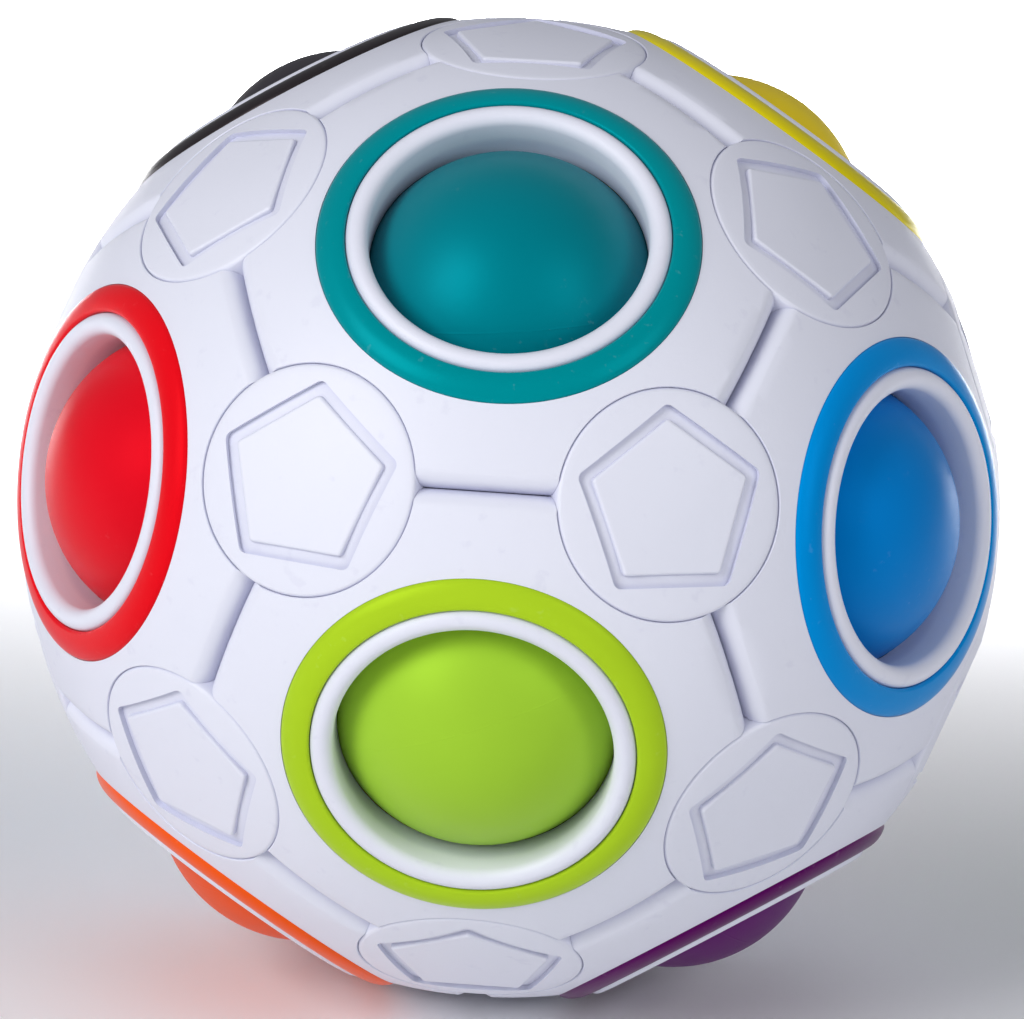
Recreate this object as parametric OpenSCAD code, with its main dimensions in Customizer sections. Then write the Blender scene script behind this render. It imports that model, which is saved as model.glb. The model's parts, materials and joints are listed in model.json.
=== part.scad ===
// A hollow puzzle sphere with twelve round seats and eleven loose balls.
// The seats sit at the corners of an icosahedron, so every seat has five neighbours 63.4 degrees away.
// A ball is pressed in and rolls under the shell into the one empty seat.
// Origin: the middle of the flat pad that the sphere stands on. +Z is up, and -Y is the front.

/* [Balls] */
// Diameter of a coloured ball, from which the whole sphere follows
ball_d = 21.4; // [16:0.1:28]
// Free space between two neighbouring balls in their seats
ball_space = 4.9; // [3:0.1:8]
// Clearance between a seated ball and the throat's inner edge
ball_gap = 0.04; // [0.02:0.01:0.1]

/* [Shell] */
// Thickness of the shell panels
shell_t = 3.6; // [3:0.1:4.5]
// How much narrower than the ball a throat is, on the radius
throat_catch = 1.15; // [0.8:0.05:1.6]
// Width of the white lip between a throat and its ring
lip_w = 1.55; // [1.2:0.05:2]
// How far the lip's crest stands above the shell's surface at the ring's inner edge
lip_rise = 0.5; // [0.2:0.05:0.9]
// Width of the seam groove between two panels
groove_w = 2.4; // [1.6:0.1:3]
// Depth of the seam groove
groove_depth = 1.7; // [1.2:0.1:2.1]
// Gap between two panels at the bottom of the groove
seam_gap = 0.06; // [0.02:0.02:0.2]

/* [Coloured rings] */
// Width of a ring
ring_w = 2.05; // [1.6:0.05:2.6]
// Depth of a ring's channel below the shell's surface at the ring's outer edge
ring_depth = 1.4; // [1:0.1:1.7]
// How far the crown of a ring stands above the shell's surface
ring_rise = 0.4; // [0.3:0.05:0.6]
// Height of the crown above the ring's two edges
ring_crown = 0.23; // [0.15:0.01:0.4]

/* [Corner caps] */
// Width of white shell between a ring and the disc of a corner cap
cap_land = 1.48; // [1:0.02:2.4]
// Gap between the disc and its recess
cap_gap = 0.08; // [0.04:0.01:0.2]
// Depth of the disc's recess below the shell's surface at the disc's edge
cap_depth = 1.7; // [1.2:0.1:2]
// How far the flat top of the pentagon pad lies inside the shell's full radius
pad_sink = 0.43; // [0.3:0.01:0.6]
// Distance from the disc's rim to the corners of the pad's flat top
pad_margin = 2; // [1.2:0.05:2.2]
// Width of the groove round the pad
pad_groove = 0.85; // [0.3:0.05:0.9]
// Depth of the groove round the pad, below the disc's domed face
pad_groove_depth = 0.4; // [0.2:0.05:0.5]
// Diameter of the cap's stem
stem_d = 4.8; // [4:0.1:5.8]
// Clearance round the stem where it passes through the panels
stem_gap = 0.05; // [0.02:0.01:0.1]
// How far the snap head reaches past the stem's hole, all round
snap_reach = 0.5; // [0.3:0.05:0.7]
// Length of the snap head below the shell
snap_l = 1.6; // [1.2:0.1:2]
// Width of the slot across the snap head
snap_slot = 1; // [0.8:0.1:1.4]

/* [Core] */
// Clearance between the soft core and the seated balls
core_gap = 0.1; // [0.05:0.05:0.5]

/* [Hidden] */
$fn = 96;

// Angles of an icosahedron of seats and the dodecahedron of corners between them
seat_step = atan(2);
half_step = seat_step / 2;
seat_to_corner = acos(sqrt((5 + 2 * sqrt(5)) / 15));
second_tier = acos(sqrt((5 - 2 * sqrt(5)) / 15));
corner_step = acos(sqrt(5) / 3);
third_corner = acos(1 / 3);
corner_turn = acos((sqrt(5) / 3 - 1 / 9) * 9 / 8) / 2;

// Balls, then the shell that holds each one by its throat's inner edge
ball_r = ball_d / 2;
seat_r = (ball_r + ball_space / 2) / sin(half_step);
throat_r = ball_r - throat_catch;
throat_edge = seat_r + sqrt(pow(ball_r + ball_gap, 2) - pow(throat_r, 2));
inner_r = sqrt(pow(throat_edge, 2) + pow(throat_r, 2));
shell_r = inner_r + shell_t;
core_r = seat_r - ball_r - core_gap;

// Lip, ring and the ring's channel
ring_ir = throat_r + lip_w;
ring_or = ring_ir + ring_w;
ring_mid = (ring_or + ring_ir) / 2;
ring_floor = sqrt(pow(shell_r, 2) - pow(ring_or, 2)) - ring_depth;
ring_top = sqrt(pow(shell_r, 2) - pow(ring_mid, 2)) + ring_rise;
ring_tilt = asin(ring_mid / shell_r);
ring_arc = (pow(ring_w / 2, 2) + pow(ring_crown, 2)) / (2 * ring_crown);
lip_mid = throat_r + lip_w / 2;
lip_arc = 1.12 * lip_w / 2;
lip_top = sqrt(pow(shell_r, 2) - pow(ring_ir, 2)) + lip_rise;
lip_root = ring_floor - 0.2;

// Corner cap: its disc fills the room that the three rings about it leave
cap_angle = seat_to_corner - asin(ring_or / shell_r) - cap_land / shell_r * 180 / PI;
cap_r = shell_r * sin(cap_angle);
cap_floor = shell_r * cos(cap_angle) - cap_depth;
pad_top = shell_r - pad_sink;
pad_flat = (cap_r - pad_margin) * cos(36);
groove_flat = pad_flat + pad_groove;
stem_r = stem_d / 2;
snap_r = stem_r + stem_gap + snap_reach;
snap_top = sqrt(pow(inner_r, 2) - pow(snap_r, 2)) - 0.05;

// Groove shoulder: an arc that rises out of the seam's wall and meets the sphere at a slant
half_groove = groove_w / 2;
groove_arc = (pow(half_groove, 2) + pow(groove_depth, 2)) / groove_w;
groove_floor = shell_r - groove_depth;

// The sphere stands on its lowest corner cap's pad
centre_z = pad_top;

// More than the whole sphere, for cuts that pass right through
past = 3 * shell_r;

// Each seat: name, angle from +Z, angle round Z, colour
SEATS = [
    ["teal", seat_to_corner, 270, [0, 0.53, 0.56]],
    ["yellow", seat_to_corner, 30, [0.95, 0.87, 0.1]],
    ["black", seat_to_corner, 150, [0.1, 0.1, 0.11]],
    ["red", second_tier, 210, [0.9, 0.08, 0.12]],
    ["blue", second_tier, 330, [0.02, 0.45, 0.75]],
    ["open", second_tier, 90, [0.6, 0.61, 0.63]],
    ["lime", 180 - second_tier, 270, [0.66, 0.83, 0.16]],
    ["green", 180 - second_tier, 30, [0.06, 0.5, 0.2]],
    ["sky", 180 - second_tier, 150, [0.45, 0.75, 0.92]],
    ["pink", 180 - seat_to_corner, 90, [0.93, 0.4, 0.62]],
    ["orange", 180 - seat_to_corner, 210, [0.97, 0.42, 0.05]],
    ["purple", 180 - seat_to_corner, 330, [0.38, 0.08, 0.42]]
];

// Each corner: name, angle from +Z, angle round Z, turn of its pentagon
CORNERS = [
    ["top", 0, 0, 20],
    ["upper_back", corner_step, 90, 50],
    ["upper_left", corner_step, 210, 24],
    ["upper_right", corner_step, 330, 47],
    ["front_left", third_corner, 270 - corner_turn, 38],
    ["front_right", third_corner, 270 + corner_turn, 34],
    ["right_front", third_corner, 30 - corner_turn, 10],
    ["right_back", third_corner, 30 + corner_turn, 62],
    ["left_back", third_corner, 150 - corner_turn, 5],
    ["left_front", third_corner, 150 + corner_turn, 30],
    ["back_right", 180 - third_corner, 90 - corner_turn, 41],
    ["back_left", 180 - third_corner, 90 + corner_turn, 12],
    ["lower_left_back", 180 - third_corner, 210 - corner_turn, 55],
    ["lower_left_front", 180 - third_corner, 210 + corner_turn, 29],
    ["lower_right_front", 180 - third_corner, 330 - corner_turn, 44],
    ["lower_right_back", 180 - third_corner, 330 + corner_turn, 18],
    ["under_front", 180 - corner_step, 270, 36],
    ["under_right", 180 - corner_step, 30, 8],
    ["under_left", 180 - corner_step, 150, 27],
    ["foot", 180, 0, 60]
];

BALL_SEATS = [for (s = SEATS) if (s[0] != "open") s];

// Unit vector of a place given by its angle from +Z and its angle round Z
function way(place) = [
    sin(place[1]) * cos(place[2]),
    sin(place[1]) * sin(place[2]),
    cos(place[1])
];

// The first seat next to this one
function first_neighbour(seat) = [
    for (s = SEATS) if (s[0] != seat[0] && way(s) * way(seat) > cos(seat_step) - 0.01) way(s)
][0];

// Turn about the seat's own axis that brings its first neighbour to local +X
function seat_turn(seat) =
    let (
        across = [cos(seat[1]) * cos(seat[2]), cos(seat[1]) * sin(seat[2]), -sin(seat[1])],
        along = [-sin(seat[2]), cos(seat[2]), 0],
        next = first_neighbour(seat)
    )
    atan2(next * along, next * across);

// Puts a shape built about local +Z, with the sphere's centre at the local origin, in its place
module on_sphere(place, turn = 0) {
    translate([0, 0, centre_z])
        rotate([0, place[1], place[2]])
            rotate([0, 0, turn])
                children();
}

// Outline of a panel with its lip and its ring channel, turned about the seat's axis
module panel_outline() {
    difference() {
        circle(r = shell_r);
        circle(r = inner_r);
        // The throat
        translate([-past, -past])
            square([past + throat_r, 2 * past]);
        // Everything past the panel's corners
        translate([0, -past])
            square([past, past + inner_r * cos(seat_to_corner + 4)]);
        // The ring's channel, and the room that the lip stands in
        translate([0, ring_floor])
            square([ring_or, past]);
    }
    // The lip, rounded over its crest
    intersection() {
        translate([throat_r, lip_root])
            square([lip_w, past]);
        union() {
            translate([lip_mid, lip_top - lip_arc])
                circle(r = lip_arc);
            translate([throat_r, lip_root])
                square([lip_w, lip_top - lip_arc - lip_root]);
        }
    }
}

// The cuts about one panel's axis, one on each of its five sides, with the side's own middle at local +Z
module on_five_sides() {
    for (k = [0:4])
        rotate([0, 0, 72 * k])
            rotate([0, half_step, 0])
                children();
}

// Cuts a rounded groove shoulder along the seam square to local X, from one corner's disc to the next
module groove_cut() {
    sweep = corner_step - cap_angle;
    rotate([0, -90, 0])
        rotate([0, 0, -sweep / 2])
            rotate_extrude(angle = sweep)
                difference() {
                    translate([groove_floor, -0.2])
                        square([2 * groove_depth, half_groove + 0.3]);
                    translate([groove_floor, groove_arc])
                        circle(r = groove_arc);
                }
}

// Cuts the recess and the stem's hole at each of a panel's five corners
module corner_cuts() {
    for (k = [0:4])
        rotate([0, 0, 72 * k + 36])
            rotate([0, seat_to_corner, 0]) {
                translate([0, 0, cap_floor])
                    cylinder(r = cap_r + cap_gap, h = shell_r);
                cylinder(r = stem_r + stem_gap, h = shell_r);
            }
}

module panel(seat) {
    color([0.9, 0.91, 0.95])
        on_sphere(seat, seat_turn(seat))
            difference() {
                difference() {
                    difference() {
                        rotate_extrude()
                            panel_outline();
                        on_five_sides()
                            translate([-seam_gap / 2, -past / 2, 0])
                                cube(past);
                    }
                    on_five_sides()
                        groove_cut();
                }
                corner_cuts();
            }
}

// Outline of a ring: square below, crowned on top, turned about the seat's axis
module ring_outline() {
    crown_x = ring_mid - ring_arc * sin(ring_tilt);
    crown_y = ring_top - ring_arc * cos(ring_tilt);
    intersection() {
        translate([ring_ir, ring_floor])
            square([ring_w, past]);
        union() {
            translate([crown_x, crown_y])
                circle(r = ring_arc);
            translate([ring_ir, ring_floor])
                square([ring_w, ring_depth / 2]);
        }
    }
}

module ring(seat) {
    color(seat[3])
        on_sphere(seat)
            rotate_extrude()
                ring_outline();
}

module ball(seat) {
    color(seat[3])
        on_sphere(seat)
            translate([0, 0, seat_r])
                sphere(r = ball_r);
}

// A five-sided block from the disc's floor up to a height, its sides this far from the axis
module pentagon(flat, top) {
    translate([0, 0, cap_floor + cap_depth / 2])
        cylinder(r = flat / cos(36), h = top - cap_floor - cap_depth / 2, $fn = 5);
}

module corner_cap(corner) {
    color([0.92, 0.93, 0.96])
        on_sphere(corner, corner[3])
            difference() {
                union() {
                    // The disc, domed like the shell, with the groove that outlines the pad
                    difference() {
                        intersection() {
                            sphere(r = shell_r);
                            translate([0, 0, cap_floor])
                                cylinder(r = cap_r, h = shell_r - cap_floor);
                        }
                        difference() {
                            pentagon(groove_flat, shell_r + 1);
                            intersection() {
                                sphere(r = shell_r - pad_groove_depth);
                                cylinder(r = shell_r, h = pad_top - pad_groove_depth / 2);
                            }
                        }
                    }
                    // The flat pad
                    pentagon(pad_flat, pad_top);
                    // The stem and its snap head
                    translate([0, 0, snap_top - snap_l / 3])
                        cylinder(r = stem_r, h = (cap_floor + pad_top) / 2 - snap_top + snap_l / 3);
                    translate([0, 0, snap_top - snap_l])
                        cylinder(r1 = stem_r - snap_reach, r2 = snap_r, h = snap_l);
                }
                // The slot that lets the snap head spring inwards
                translate([-past / 2, -snap_slot / 2, 0])
                    cube([past, snap_slot, snap_top + 0.4]);
            }
}

module core() {
    color([0.86, 0.84, 0.8])
        translate([0, 0, centre_z])
            sphere(r = core_r);
}

for (s = SEATS)
    panel(s);
for (s = SEATS)
    ring(s);
for (s = BALL_SEATS)
    ball(s);
for (c = CORNERS)
    corner_cap(c);
core();
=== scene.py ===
"""A ball-shift puzzle sphere: twelve round seats in a white shell, eleven loose balls and one empty seat."""

import json
import math
import random

import bpy
from mathutils import Matrix, Vector


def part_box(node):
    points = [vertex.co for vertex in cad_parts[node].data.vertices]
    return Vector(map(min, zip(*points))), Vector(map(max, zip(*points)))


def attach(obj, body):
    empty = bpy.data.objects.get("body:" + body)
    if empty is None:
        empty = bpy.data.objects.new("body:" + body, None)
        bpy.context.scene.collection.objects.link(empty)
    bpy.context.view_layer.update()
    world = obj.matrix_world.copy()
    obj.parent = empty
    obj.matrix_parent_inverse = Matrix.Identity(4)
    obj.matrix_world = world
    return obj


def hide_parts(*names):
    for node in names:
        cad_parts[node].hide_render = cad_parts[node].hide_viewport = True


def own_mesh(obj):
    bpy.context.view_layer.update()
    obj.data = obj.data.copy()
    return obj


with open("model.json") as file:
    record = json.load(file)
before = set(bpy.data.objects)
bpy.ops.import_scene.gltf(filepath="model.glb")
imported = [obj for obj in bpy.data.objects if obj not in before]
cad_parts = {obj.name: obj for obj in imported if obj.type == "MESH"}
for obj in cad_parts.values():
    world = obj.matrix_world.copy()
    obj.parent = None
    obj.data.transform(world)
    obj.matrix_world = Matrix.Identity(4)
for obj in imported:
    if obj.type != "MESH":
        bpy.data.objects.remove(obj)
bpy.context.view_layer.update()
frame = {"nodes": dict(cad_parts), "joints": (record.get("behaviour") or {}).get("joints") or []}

# ---------------------------------------------------------------- soft core
# A springy ball of closed-cell foam in the middle, which pushes each loose ball out against its seat.
# It is moulded in twelve five-sided wedges, one under each seat.

core_low, core_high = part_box("core")
middle = (core_low + core_high) / 2
core_r = (core_high.z - core_low.z) / 2
wedge_gap = 0.00002
wedge_edge = 0.0004
seat_step = math.atan(2)
side_turn = 72
plane_reach = 0.0000001
same_point = 0.0000005
seat_names = [name.removeprefix("panel_") for name in frame["nodes"] if name.startswith("panel_")]


def box_middle(node):
    """Where a node's box has its middle, counted from the middle of the sphere."""
    low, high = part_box(node)
    return (low + high) / 2 - middle


# Each seat looks the way its ball lies. The twelve ways cancel out, which leaves the empty seat's own.
seat_ways = {
    name: box_middle("ball_" + name).normalized()
    for name in seat_names
    if "ball_" + name in frame["nodes"]
}
for name in seat_names:
    if name not in seat_ways:
        seat_ways[name] = -sum(seat_ways.values(), Vector()).normalized()


def start_piece(name):
    """Names the object just added and puts it in edit mode with nothing selected."""
    piece = bpy.context.object
    piece.name = name
    piece.data.name = name
    bpy.ops.object.mode_set(mode="EDIT")
    bpy.ops.mesh.select_all(action="DESELECT")
    return piece


def choose_edges(piece, wanted):
    """Selects the edges whose two ends wanted() accepts, and nothing else, in edit mode."""
    bpy.ops.mesh.select_mode(type="EDGE")
    bpy.ops.mesh.select_all(action="DESELECT")
    bpy.ops.object.mode_set(mode="OBJECT")
    points = piece.data.vertices
    for edge in piece.data.edges:
        edge.select = wanted(points[edge.vertices[0]].co, points[edge.vertices[1]].co)
    bpy.ops.object.mode_set(mode="EDIT")


def finish_mesh(piece, sharp_degrees=35):
    """Leaves edit mode and shades the piece smooth between its sharp edges."""
    bpy.ops.object.mode_set(mode="OBJECT")
    bpy.ops.object.select_all(action="DESELECT")
    piece.select_set(True)
    bpy.context.view_layer.objects.active = piece
    bpy.ops.object.shade_smooth_by_angle(angle=math.radians(sharp_degrees))


def lay_copy(pattern, name, turn, place=Vector()):
    """Copies a piece modelled about +Z and turns it about the sphere's middle, with its place in its mesh."""
    bpy.ops.object.select_all(action="DESELECT")
    piece = pattern.copy()
    piece.data = pattern.data.copy()
    piece.name = name
    piece.data.name = name
    bpy.context.collection.objects.link(piece)
    piece.matrix_world = Matrix.Translation(middle + place) @ turn.to_4x4()
    piece.select_set(True)
    bpy.context.view_layer.objects.active = piece
    bpy.ops.object.transform_apply(location=True, rotation=True, scale=True)
    return piece


def turn_to(way, side):
    """The turn that takes local +Z to way, and local +X as near as it goes to side."""
    across = (side - way * side.dot(way)).normalized()
    return Matrix((across, way.cross(across), way)).transposed()


def side_by_side(first, second):
    """Whether two seats are neighbours: the cosine between their ways is then 0.447."""
    return 0.4 < first.dot(second) < 0.5


def seat_turn(name):
    """The turn from local +Z to a seat, with local +X towards one of its five neighbours."""
    way = seat_ways[name]
    neighbours = [other for other in seat_ways.values() if side_by_side(other, way)]
    return turn_to(way, neighbours[0])


# The five flat planes that part a seat from its neighbours all pass through the sphere's middle
first_normal = Vector((math.cos(seat_step / 2), 0, -math.sin(seat_step / 2)))
side_normals = [
    Matrix.Rotation(math.radians(side_turn * side), 3, "Z") @ first_normal for side in range(5)
]


def cut_flat(place, normal, **sides):
    """Cuts through the whole piece in edit mode, clears one side away and closes the cut."""
    bpy.ops.mesh.select_all(action="SELECT")
    bpy.ops.mesh.bisect(plane_co=place, plane_no=normal, use_fill=True, threshold=plane_reach, **sides)


def cut_five_sides(gap):
    """Cuts the piece in edit mode back to one seat's share, half a gap short on each of its five sides."""
    for normal in side_normals:
        cut_flat(normal * -gap / 2, normal, clear_outer=True)


class Flow:
    """The value on a node's socket, so that a finish is worked out in plain sums."""

    def __init__(self, finish, socket):
        self.finish = finish
        self.socket = socket

    def reckon(self, operation, first, second):
        return self.finish.node("ShaderNodeMath", {"operation": operation}, {0: first, 1: second})

    def __add__(self, other):
        return self.reckon("ADD", self, other)

    def __rsub__(self, other):
        return self.reckon("SUBTRACT", other, self)

    def __mul__(self, other):
        return self.reckon("MULTIPLY", self, other)

    __radd__ = __add__


class Finish:
    """A material made of nodes, which ends in one plastic or foam shader."""

    def __init__(self, name):
        self.material = bpy.data.materials.new(name)
        self.material.use_nodes = True
        self.tree = self.material.node_tree
        self.tree.nodes.clear()
        self.place = self.node("ShaderNodeTexCoord", output="Object")

    def node(self, kind, settings=None, inputs=None, output=0):
        """Adds one node: its settings first, then a value or a link on each socket named or numbered."""
        made = self.tree.nodes.new(kind)
        for key, value in (settings or {}).items():
            setattr(made, key, value)
        for key, value in (inputs or {}).items():
            if isinstance(value, Flow):
                self.tree.links.new(value.socket, made.inputs[key])
            else:
                made.inputs[key].default_value = value
        return Flow(self, made.outputs[output]) if made.outputs else None

    def noise(self, size, detail, shift=0.0):
        """Soft cloudy noise from 0 to 1, in lumps about as big as size in metres."""
        return self.node(
            "ShaderNodeTexNoise",
            {"noise_dimensions": "4D"},
            {"Vector": self.place, "W": shift, "Scale": 0.5 / size, "Detail": detail, "Roughness": 0.5},
        )

    def step(self, value, low, high):
        """0 where value is under low, 1 over high, and smooth between."""
        return self.node(
            "ShaderNodeMapRange",
            {"interpolation_type": "SMOOTHSTEP"},
            {"Value": value, "From Min": low, "From Max": high},
        )

    def blend(self, share, first, second):
        """One colour going over into another by share: 6 and 7 are this node's two colour sockets."""
        return self.node("ShaderNodeMix", {"data_type": "RGBA"}, {0: share, 6: first, 7: second}, output=2)

    def close(self, colour, roughness, height, relief, specular=0.5, shine_colour=(1, 1, 1, 1)):
        """Joins colour, roughness and a bump of the given relief in metres to the shader."""
        normal = self.node("ShaderNodeBump", {}, {"Height": height, "Strength": 1.0, "Distance": relief})
        surface = self.node(
            "ShaderNodeBsdfPrincipled",
            {},
            {
                "Base Color": colour,
                "Roughness": roughness,
                "Specular IOR Level": specular,
                "Specular Tint": shine_colour,
                "Normal": normal,
            },
        )
        self.node("ShaderNodeOutputMaterial", {}, {"Surface": surface})
        return self.material


def paint(red, green, blue):
    """A colour as a screen shows it, from 0 to 255, turned into the light it sends back."""
    shares = [value / 255 for value in (red, green, blue)]
    return tuple(s / 12.92 if s < 0.04045 else ((s + 0.055) / 1.055) ** 2.4 for s in shares) + (1.0,)


def shine_of(colour):
    """The strong dyes in these plastics tint their shine: the colour at its full strength."""
    strongest = max(colour[:3])
    return tuple(share / strongest for share in colour[:3]) + (1.0,)


def set_piece(piece, body, slot, material, *nodes):
    """Gives a finished piece its material and its body, and the CAD nodes that it stands for."""
    piece.data.materials.clear()
    piece.data.materials.append(material)
    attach(piece, body)
    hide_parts(*nodes)


# Foam: matt, with small shallow pits in its moulded skin, painted darker inside as painted shade
foam = Finish("core_foam")
cells = foam.step(foam.noise(0.00035, 1), 0.36, 0.5)
blotch = foam.noise(0.004, 3, 2)
foam_skin = foam.blend(blotch, paint(222, 216, 204), paint(232, 228, 218))
# Painted shade: the pits take a darker colour, standing in for the shade that falls into them
foam_colour = foam.blend(cells, paint(196, 189, 177), foam_skin)
core_foam = foam.close(foam_colour, 0.85 - cells * 0.1, cells * 0.8 + blotch * 0.2, 0.00012, specular=0.25)


def on_wedge_rim(a, b):
    """Whether the edge between two points lies on the ball's skin and on one of the five cuts."""
    on_skin = min(a.length, b.length) > core_r * 0.995
    on_cut = max((a + b).dot(normal) for normal in side_normals) > -wedge_gap * 1.5
    return on_skin and on_cut


bpy.ops.object.select_all(action="DESELECT")
bpy.ops.mesh.primitive_ico_sphere_add(radius=core_r, subdivisions=5)
wedge_pattern = start_piece("wedge_pattern")
cut_five_sides(wedge_gap)
choose_edges(wedge_pattern, on_wedge_rim)
bpy.ops.mesh.bevel(offset=wedge_edge, segments=3, affect="EDGES")
finish_mesh(wedge_pattern)

shell_body = "shell"
joint_names = [joint["name"] for joint in frame["joints"]]
for name, way in seat_ways.items():
    wedge = lay_copy(wedge_pattern, "foam_wedge_" + name, seat_turn(name))
    set_piece(wedge, shell_body, "core_foam", core_foam, "core")
    if name + "_press" in joint_names:
        name + "_press"
        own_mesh(wedge)
bpy.data.objects.remove(wedge_pattern)

# ---------------------------------------------------------------- loose balls
# Eleven solid balls of coloured plastic, turned smooth and handled to a satin. Each keeps a hair-fine line
# round it from the two halves of its mould. They sit loose in the throats of the seats, from inside.

ball_low, ball_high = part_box("ball_teal")
ball_r = (ball_high.z - ball_low.z) / 2
seat_reach = box_middle("ball_teal").length
mould_line = 0.000010
line_half_degrees = 0.4
ball_colours = {
    "teal": paint(0, 124, 136),
    "lime": paint(162, 208, 56),
    "red": paint(232, 14, 34),
    "blue": paint(0, 128, 208),
    "yellow": paint(252, 222, 28),
    "black": paint(34, 31, 35),
    "orange": paint(246, 88, 28),
    "purple": paint(84, 16, 92),
    "pink": paint(236, 100, 160),
    "green": paint(20, 132, 62),
    "sky": paint(112, 190, 232),
}


def draw_outline(name, points, closed):
    """Draws an outline by extruding a corner from point to point, each (distance from the axis, height)."""
    bpy.ops.object.select_all(action="DESELECT")
    bpy.ops.mesh.primitive_plane_add(size=0.0001)
    piece = start_piece(name)
    bpy.ops.mesh.select_mode(type="VERT")
    bpy.ops.mesh.select_all(action="SELECT")
    bpy.ops.mesh.merge(type="CENTER")
    bpy.ops.mesh.select_all(action="SELECT")
    bpy.ops.transform.translate(value=(points[0][0], 0, points[0][1]))
    course = points + points[:1] if closed else points
    for (r0, z0), (r1, z1) in zip(course, course[1:]):
        bpy.ops.mesh.extrude_vertices_move(TRANSFORM_OT_translate={"value": (r1 - r0, 0, z1 - z0)})
    bpy.ops.mesh.select_all(action="SELECT")
    bpy.ops.mesh.remove_doubles(threshold=same_point)
    return piece


def spin_outline(steps):
    """Turns the outline in edit mode once round the Z axis into a closed piece."""
    bpy.ops.mesh.select_all(action="SELECT")
    bpy.ops.mesh.spin(steps=steps, angle=math.tau, center=(0, 0, 0), axis=(0, 0, 1))
    bpy.ops.mesh.select_all(action="SELECT")
    bpy.ops.mesh.remove_doubles(threshold=same_point)
    bpy.ops.mesh.normals_make_consistent(inside=False)


def toned(colour, tone, share):
    """A colour taken some way towards a grey of this tone."""
    return tuple(c + (tone - c) * share for c in colour[:3]) + (1.0,)


def ball_finish(name, colour):
    """Satin plastic with a soft unevenness and small pale scuffs."""
    finish = Finish(name)
    cloud = finish.noise(0.006, 3)
    waves = finish.noise(0.0016, 2, 4)
    grain = finish.noise(0.00012, 2, 7)
    scuff_area = finish.step(finish.noise(0.003, 2, 11), 0.6, 0.72)
    scuff = scuff_area * finish.step(finish.noise(0.00022, 4, 13), 0.58, 0.72)
    body_colour = finish.blend(cloud, toned(colour, 0, 0.1), colour)
    shade = finish.blend(scuff, body_colour, toned(colour, 0.75, 0.08))
    rough = 0.42 + cloud * 0.06 + scuff * 0.12
    height = waves * 0.75 + grain * 0.1 + scuff * 0.15
    return finish.close(shade, rough, height, 0.00003, 0.65, shine_of(colour))


# The outline runs from pole to pole, with closer points beside the line of the mould at the middle
latitudes = [90 - 3 * k for k in range(30)] + [2, 1.2, 0.7, 0.35, 0.15, 0]
latitudes = latitudes + [-a for a in reversed(latitudes[:-1])]
ball_outline = []
for latitude in latitudes:
    here_r = ball_r + mould_line * max(0, 1 - abs(latitude) / line_half_degrees)
    lean = math.radians(latitude)
    out = here_r * math.cos(lean) if abs(latitude) < 90 else 0.0
    ball_outline.append((out, here_r * math.sin(lean)))
ball_pattern = draw_outline("ball_pattern", ball_outline, closed=False)
spin_outline(128)
finish_mesh(ball_pattern, 60)

roll = random.Random(11)
for name in ball_colours:
    way = Vector([roll.uniform(-1, 1) for _ in range(3)]).normalized()
    rolled = turn_to(way, way.orthogonal())
    ball = lay_copy(ball_pattern, "loose_ball_" + name, rolled, seat_ways[name] * seat_reach)
    ball_plastic = ball_finish("ball_" + name, ball_colours[name])
    set_piece(ball, "ball_" + name, name + "_ball", ball_plastic, "ball_" + name)
bpy.data.objects.remove(ball_pattern)

# ---------------------------------------------------------------- white shell panels
# Twelve mouldings in satin white plastic, each the five-sided piece of the shell round one seat. The seat's
# throat and its round lip are moulded in, and a shallow channel round the lip takes the coloured ring.
# The panels meet in narrow grooves with soft shoulders, and a round recess is shared by three at each corner.

throat_catch = 0.00115
ball_gap = 0.00004
shell_wall = 0.0036
throat_r = ball_r - throat_catch
throat_edge = seat_reach + math.sqrt((ball_r + ball_gap) ** 2 - throat_r**2)
shell_inner_r = math.hypot(throat_edge, throat_r)
shell_r = shell_inner_r + shell_wall
lip_w = 0.00155
lip_proud = 0.0005
lip_steps = 12
ring_ir = throat_r + lip_w
ring_w = 0.00205
ring_or = ring_ir + ring_w
ring_deep = 0.0014
ring_floor = math.sqrt(shell_r**2 - ring_or**2) - ring_deep
lip_top = math.sqrt(shell_r**2 - ring_ir**2) + lip_proud
lip_round = lip_w / 2
corner_angle = math.acos(math.sqrt((5 + 2 * math.sqrt(5)) / 15))
cap_from_ring = 0.00148
disc_deep = 0.0017
cap_angle = corner_angle - math.asin(ring_or / shell_r) - cap_from_ring / shell_r
cap_r = shell_r * math.sin(cap_angle)
cap_floor = shell_r * math.cos(cap_angle) - disc_deep
recess_gap = 0.00008
recess_edge = 0.00018
cutter_over = 0.001
stem_r = 0.0024
stem_gap = 0.00005
seam_gap = 0.00006
groove_half = 0.0012
groove_deep = 0.0017
groove_round = (groove_half**2 + groove_deep**2) / (2 * groove_half)
groove_rows = 9
outer_reach = 0.00003

# Satin white plastic: faintly cloudy, with a fine moulded grain, a few rub marks and painted shade in its
# grooves, where the shell's own walls close round the surface
white = Finish("shell_white")
cloud = white.noise(0.009, 3)
waves = white.noise(0.003, 2, 3)
grain = white.noise(0.00016, 3, 5)
rub = white.step(white.noise(0.0007, 5, 9), 0.62, 0.72)
white_colour = white.blend(cloud, paint(227, 229, 242), paint(232, 233, 245))
white_colour = white.blend(rub * 0.2, white_colour, paint(206, 206, 226))
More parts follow.
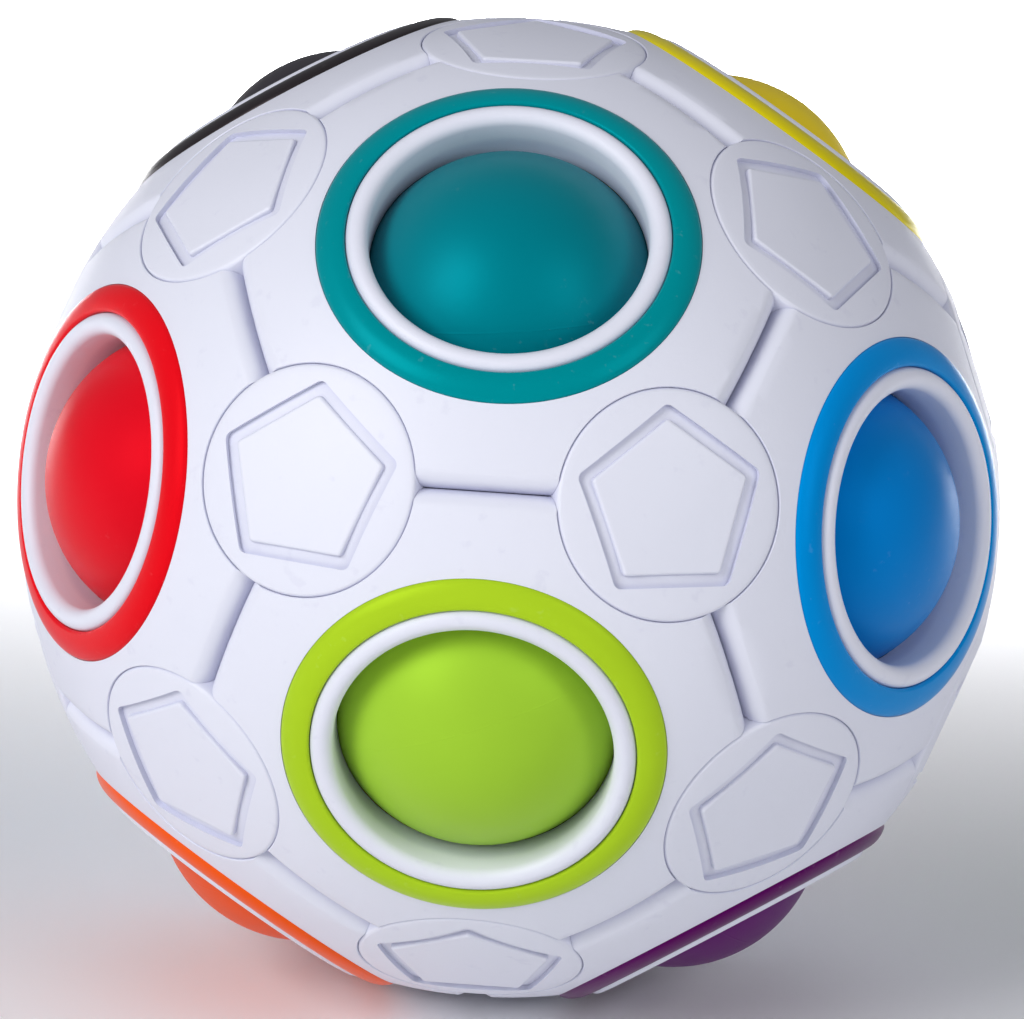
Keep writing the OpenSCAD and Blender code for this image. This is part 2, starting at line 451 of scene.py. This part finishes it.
# Painted shade: ambient occlusion turns the colour violet-grey in grooves, seams and recesses
painted_groove_shade = 1 - white.node("ShaderNodeAmbientOcclusion", {"samples": 6}, {"Distance": 0.001}, output="AO")
white_colour = white.blend(white.step(painted_groove_shade, 0.04, 0.5) * 0.42, white_colour, paint(184, 186, 214))
white_rough = 0.4 + cloud * 0.06 + rub * 0.08
white_height = waves * 0.35 + grain * 0.25 + rub * 0.1
shell_white = white.close(white_colour, white_rough, white_height, 0.00003, specular=0.3)


def dome_arc(radius, start, end, steps):
    """Outline points round the sphere's middle, from one lean away from the Z axis to another."""
    leans = [start + (end - start) * step / steps for step in range(steps + 1)]
    return [(radius * math.sin(lean), radius * math.cos(lean)) for lean in leans]


# The panel's section, from the top of the channel out past the corners, back inside and up the throat
outer_start = math.asin(ring_or / shell_r)
outer_end = corner_angle + math.radians(3)
inner_start = math.asin(throat_r / shell_inner_r)
panel_outline = dome_arc(shell_r, outer_start, outer_end, 14)
panel_outline += dome_arc(shell_inner_r, outer_end, inner_start, 16)
panel_outline.append((throat_r, (throat_edge + lip_top - lip_round) / 2))
for step in range(lip_steps + 1):
    lean = math.pi * (1 - step / lip_steps)
    panel_outline.append(
        (throat_r + lip_round * (1 + math.cos(lean)), lip_top - lip_round * (1 - math.sin(lean)))
    )
panel_outline.append((ring_ir, ring_floor))
panel_outline.append((ring_or, ring_floor))
panel_pattern = draw_outline("panel_pattern", panel_outline, closed=True)
spin_outline(180)
cut_five_sides(seam_gap)

# Rows of points beside each seam, which then sink into the groove's round shoulder
for row in range(1, groove_rows + 1):
    away = groove_half * (row / groove_rows) ** 1.6
    for normal in side_normals:
        bpy.ops.mesh.select_all(action="SELECT")
        bpy.ops.mesh.bisect(plane_co=normal * -away, plane_no=normal)
bpy.ops.object.mode_set(mode="OBJECT")
for vertex in panel_pattern.data.vertices:
    away = min(-vertex.co.dot(normal) for normal in side_normals)
    if away < groove_half and vertex.co.length > shell_r - outer_reach:
        climb = math.sqrt(max(0, groove_round**2 - (groove_round - away) ** 2))
        vertex.co *= min(shell_r, shell_r - groove_deep + climb) / vertex.co.length
bpy.ops.object.mode_set(mode="EDIT")
bpy.ops.mesh.select_all(action="SELECT")
bpy.ops.mesh.normals_make_consistent(inside=False)
finish_mesh(panel_pattern)


def combine(piece, operation, other):
    """Takes the other solid out of the piece, or joins it on, and leaves only the piece."""
    bpy.context.view_layer.objects.active = piece
    change = piece.modifiers.new("combine", "BOOLEAN")
    change.operation = operation
    change.solver = "EXACT"
    change.object = other
    bpy.ops.object.modifier_apply(modifier=change.name)
    bpy.data.objects.remove(other)


# Each corner gives up a third of a cap's round recess, with a softened rim, and of its stem's hole
recess_r = cap_r + recess_gap
recess_rim = math.sqrt(shell_r**2 - recess_r**2)
recess_steps = 4
stem_hole_r = stem_r + stem_gap
stem_hole_low = shell_inner_r * 0.97
cutter_top = shell_r + cutter_over
recess_outline = [(0.0, stem_hole_low), (stem_hole_r, stem_hole_low)]
recess_outline += [(stem_hole_r, cap_floor), (recess_r, cap_floor)]
for step in range(recess_steps + 1):
    lean = math.radians(72) * step / recess_steps
    rise = recess_rim - recess_edge * (1 - math.sin(lean))
    recess_outline.append((recess_r + recess_edge * (1 - math.cos(lean)), rise))
recess_outline.append((recess_r + recess_edge * 3, recess_rim + recess_edge))
recess_outline += [(recess_r, cutter_top), (0.0, cutter_top)]
recess_pattern = draw_outline("recess_pattern", recess_outline, closed=False)
spin_outline(128)
finish_mesh(recess_pattern)
for side in range(5):
    around = Matrix.Rotation(math.radians(side_turn * (side + 0.5)), 3, "Z")
    recess = lay_copy(recess_pattern, "recess", around @ Matrix.Rotation(corner_angle, 3, "Y"), -middle)
    combine(panel_pattern, "DIFFERENCE", recess)
bpy.data.objects.remove(recess_pattern)
finish_mesh(panel_pattern)

for name in seat_names:
    panel = lay_copy(panel_pattern, "shell_panel_" + name, seat_turn(name))
    set_piece(panel, shell_body, "shell_white", shell_white, "panel_" + name)
bpy.data.objects.remove(panel_pattern)

# ---------------------------------------------------------------- coloured rings
# Twelve glossy plastic rings, one in the channel round each seat, in the colour of the ball that belongs
# there. They are pressed in and stand a little proud, with a low crown and rounded rims.

ring_mid = (ring_ir + ring_or) / 2
ring_rise = 0.0004
ring_crown = 0.00023
ring_fit = 0.00002
ring_rim = 0.00022
ring_steps = 8
rim_reach = 0.000005
ring_colours = {
    "teal": paint(0, 142, 150),
    "lime": paint(176, 212, 40),
    "red": paint(236, 14, 28),
    "blue": paint(0, 142, 218),
    "yellow": paint(226, 210, 24),
    "black": paint(38, 34, 36),
    "orange": paint(250, 92, 26),
    "purple": paint(84, 10, 84),
    "pink": paint(238, 104, 164),
    "green": paint(22, 136, 64),
    "sky": paint(116, 194, 236),
    "open": paint(162, 164, 170),
}


def ring_finish(name, colour):
    """Glossy plastic, with a slight wave in its shine and a few fine rub marks."""
    finish = Finish(name)
    cloud = finish.noise(0.005, 2)
    waves = finish.noise(0.0022, 2, 5)
    grain = finish.noise(0.00014, 2, 8)
    rub = finish.step(finish.noise(0.0004, 5, 12), 0.63, 0.73)
    body_colour = finish.blend(cloud, toned(colour, 0, 0.07), colour)
    shade = finish.blend(rub, body_colour, toned(colour, 0.7, 0.04))
    rough = 0.28 + cloud * 0.05 + rub * 0.1
    height = waves * 0.7 + grain * 0.2 + rub * 0.1
    return finish.close(shade, rough, height, 0.00002, 0.3, shine_of(colour))


def choose_rim(piece, rim):
    """Selects the round edge that one corner of the outline has drawn on a turned piece, in edit mode."""
    rim_r, rim_high = rim
    choose_edges(
        piece,
        lambda a, b: max(abs(p.z - rim_high) + abs(p.xy.length - rim_r) for p in (a, b)) < rim_reach,
    )


ring_high = math.sqrt(shell_r**2 - ring_mid**2) + ring_rise
crown_arc = ((ring_w / 2) ** 2 + ring_crown**2) / (2 * ring_crown)
ring_lean = math.asin(ring_mid / shell_r)
crown_x = ring_mid - crown_arc * math.sin(ring_lean)
crown_z = ring_high - crown_arc * math.cos(ring_lean)
ring_outline = [(ring_ir + ring_fit, ring_floor + ring_fit), (ring_or - ring_fit, ring_floor + ring_fit)]
for step in range(ring_steps + 1):
    here = ring_or - ring_fit - (ring_w - 2 * ring_fit) * step / ring_steps
    ring_outline.append((here, crown_z + math.sqrt(crown_arc**2 - (here - crown_x) ** 2)))
ring_pattern = draw_outline("ring_pattern", ring_outline, closed=True)
spin_outline(180)
for rim in (ring_outline[2], ring_outline[-1]):
    choose_rim(ring_pattern, rim)
    bpy.ops.mesh.bevel(offset=ring_rim, segments=4, affect="EDGES")
finish_mesh(ring_pattern)
for name in seat_names:
    ring = lay_copy(ring_pattern, "coloured_ring_" + name, seat_turn(name))
    slot_name = ("grey" if name == "open" else name) + "_ring"
    set_piece(ring, shell_body, slot_name, ring_finish(slot_name, ring_colours[name]), "ring_" + name)
bpy.data.objects.remove(ring_pattern)

# ---------------------------------------------------------------- corner caps
# Twenty white caps pin the panels together where three meet. Each is a round disc, domed like the shell, with
# a flat five-sided pad outlined by a fine groove, and a stem whose slotted head snaps in under the panels.

pad_sink = 0.00043
pad_margin = 0.002
pad_root = 0.002
pad_top = shell_r - pad_sink
pad_flat = (cap_r - pad_margin) * math.cos(math.radians(side_turn / 2))
pad_groove = 0.00085
pad_groove_deep = 0.0004
pad_corner = 0.00025
pad_rim = 0.00024
disc_fit = 0.00006
disc_r = cap_r + disc_fit
disc_rim = 0.00026
snap_catch = 0.0005
snap_gap = 0.00005
snap_r = stem_r + stem_gap + snap_catch
snap_top = math.sqrt(shell_inner_r**2 - snap_r**2) - snap_gap
snap_long = 0.0016
snap_foot = snap_top - snap_long
slot_w = 0.001
slot_deep = 0.002
pad_reach = 0.00001

# The disc and stem are turned, with the disc's rim rounded
disc_floor = cap_floor + disc_fit
cap_outline = dome_arc(shell_r, 0, math.asin(disc_r / shell_r), 12)
disc_edge = cap_outline[-1]
cap_outline += [(disc_r, disc_floor), (stem_r, disc_floor), (stem_r, snap_top)]
cap_outline += [(snap_r, snap_top), (stem_r - snap_catch, snap_foot), (0.0, snap_foot)]
cap_pattern = draw_outline("cap_pattern", cap_outline, closed=False)
spin_outline(120)
choose_rim(cap_pattern, disc_edge)
bpy.ops.mesh.bevel(offset=disc_rim, segments=5, affect="EDGES")
finish_mesh(cap_pattern)

# The slot is sawn across the snap head
bpy.ops.object.select_all(action="DESELECT")
bpy.ops.mesh.primitive_cube_add(size=1, location=(0, 0, snap_foot), scale=(disc_r * 2, slot_w, slot_deep * 2))
slot_cutter = bpy.context.object
bpy.ops.object.transform_apply(location=True, rotation=True, scale=True)
combine(cap_pattern, "DIFFERENCE", slot_cutter)


def five_sides(name, flat, low, high, corner):
    """A five-sided block with its sides this far from the axis and its upright corners rounded."""
    bpy.ops.object.select_all(action="DESELECT")
    bpy.ops.mesh.primitive_cylinder_add(
        vertices=5,
        radius=flat / math.cos(math.radians(side_turn / 2)),
        depth=high - low,
        location=(0, 0, (low + high) / 2),
        rotation=(0, 0, math.radians(-90)),
    )
    block = start_piece(name)
    bpy.ops.object.mode_set(mode="OBJECT")
    bpy.ops.object.transform_apply(location=True, rotation=True, scale=True)
    bpy.ops.object.mode_set(mode="EDIT")
    choose_edges(block, lambda a, b: abs(a.z - b.z) > (high - low) / 2)
    bpy.ops.mesh.bevel(offset=corner, segments=4, affect="EDGES")
    return block


# The groove's cutter is a five-sided block hollowed from below by a ball with a flat top, so that its
# underside is level over the pad and follows the dome farther out
groove_low = shell_r - 0.004
under_low = shell_r - 0.006
groove_cutter = five_sides("pad_groove", pad_flat + pad_groove, groove_low, cutter_top, pad_corner * 1.6)
finish_mesh(groove_cutter)
bpy.ops.object.select_all(action="DESELECT")
bpy.ops.mesh.primitive_uv_sphere_add(radius=shell_r - pad_groove_deep, segments=128, ring_count=256)
under_ball = start_piece("under_ball")
cut_flat((0, 0, under_low), (0, 0, 1), clear_inner=True)
cut_flat((0, 0, pad_top - pad_groove_deep / 2), (0, 0, 1), clear_outer=True)
finish_mesh(under_ball)
combine(groove_cutter, "DIFFERENCE", under_ball)
combine(cap_pattern, "DIFFERENCE", groove_cutter)
finish_mesh(cap_pattern, 25)

# The flat pad fills the middle of the cut and stands a hair higher than the dome at its corners
pad = five_sides("pad", pad_flat, pad_top - pad_root, pad_top, pad_corner)
choose_edges(pad, lambda a, b: min(a.z, b.z) > pad_top - pad_reach)
bpy.ops.mesh.bevel(offset=pad_rim, segments=4, affect="EDGES")
finish_mesh(pad)
combine(cap_pattern, "UNION", pad)
finish_mesh(cap_pattern, 25)

# A cap lies where three seats meet, and one corner of its pad gives the turn about its own axis
corner_ways = [
    (a + b + c).normalized()
    for a in seat_ways.values()
    for b in seat_ways.values()
    for c in seat_ways.values()
    if side_by_side(a, b) and side_by_side(b, c) and side_by_side(c, a)
]
for node_name, node in frame["nodes"].items():
    if node_name.startswith("corner_cap_"):
        toward = box_middle(node_name)
        way = max(corner_ways, key=lambda w: w.dot(toward))
        points = [vertex.co - middle for vertex in node.data.vertices]
        height = max(point.dot(way) for point in points)
        pad_points = [point for point in points if point.dot(way) > height - pad_reach]
        pad_tip = max(pad_points, key=lambda point: (point - way * point.dot(way)).length)
        cap_name = node_name.removeprefix("corner_cap_")
        cap = lay_copy(cap_pattern, "pentagon_cap_" + cap_name, turn_to(way, pad_tip))
        set_piece(cap, shell_body, "shell_white", shell_white, node_name)
bpy.data.objects.remove(cap_pattern)

# ---------------------------------------------------------------- floor, light and camera
# A plain white floor, a soft box in front on either side, a lamp over the floor behind and a dim, even room
# of faintly blue white. The camera stands a little right of the front, above the middle, with a long lens.

bpy.ops.object.select_all(action="DESELECT")
bpy.ops.mesh.primitive_plane_add(size=6)
floor = bpy.context.object
floor.name = "floor"
ground = Finish("floor_white")
ground_cloud = ground.noise(0.05, 2)
ground_colour = ground.blend(ground_cloud, paint(250, 250, 252), paint(252, 252, 253))
floor_white = ground.close(ground_colour, 0.7 + ground_cloud * 0.05, ground_cloud, 0.00001)
floor.data.materials.append(floor_white)


def soft_box(name, target, azimuth, elevation, distance, width, height, watts, spread):
    """A rectangular light that looks at a point from this far, its light fanned out by so many degrees."""
    lamp = bpy.data.lights.new(name, "AREA")
    lamp.shape = "RECTANGLE"
    lamp.size = width
    lamp.size_y = height
    lamp.energy = watts
    lamp.spread = math.radians(spread)
    holder = bpy.data.objects.new(name, lamp)
    holder.visible_camera = False
    bpy.context.collection.objects.link(holder)
    turn = Matrix.Rotation(math.radians(azimuth), 3, "Z")
    turn = turn @ Matrix.Rotation(math.radians(90 - elevation), 3, "X")
    holder.matrix_world = Matrix.Translation(target + turn @ Vector((0, 0, distance))) @ turn.to_4x4()


box_away = 0.6
soft_box("soft_box_left", middle, -44, 30, box_away, width=0.30, height=0.34, watts=2.3, spread=180)
soft_box("soft_box_right", middle, 50, 27, box_away, width=0.26, height=0.34, watts=0.9, spread=180)

# A narrow lamp faces straight down behind the sphere, and whitens only the floor there
floor_behind = Vector((0, 0.27, 0))
soft_box("floor_light", floor_behind, 0, 90, 0.3, width=0.4, height=0.2, watts=2.4, spread=60)

room = bpy.data.worlds.new("white_room")
room.use_nodes = True
room.node_tree.nodes["Background"].inputs["Color"].default_value = (0.9, 0.92, 1.0, 1)
room.node_tree.nodes["Background"].inputs["Strength"].default_value = 0.25
bpy.context.scene.world = room
bpy.context.scene.view_settings.view_transform = "Standard"

view_azimuth = 2.95
view_elevation = 19.29
view_roll = 2.96
view_distance = 0.5114
view_shift_x = 0.00012
view_shift_y = -0.00015
lens = bpy.data.cameras.new("camera")
lens.lens = 251.1
lens.sensor_width = 36
lens.clip_start = 0.05
camera = bpy.data.objects.new("camera", lens)
bpy.context.collection.objects.link(camera)
view_turn = (
    Matrix.Rotation(math.radians(view_azimuth), 3, "Z")
    @ Matrix.Rotation(math.radians(90 - view_elevation), 3, "X")
    @ Matrix.Rotation(math.radians(view_roll), 3, "Z")
)
view_place = middle + view_turn @ Vector((view_shift_x, view_shift_y, view_distance))
camera.matrix_world = Matrix.Translation(view_place) @ view_turn.to_4x4()
bpy.context.scene.camera = camera
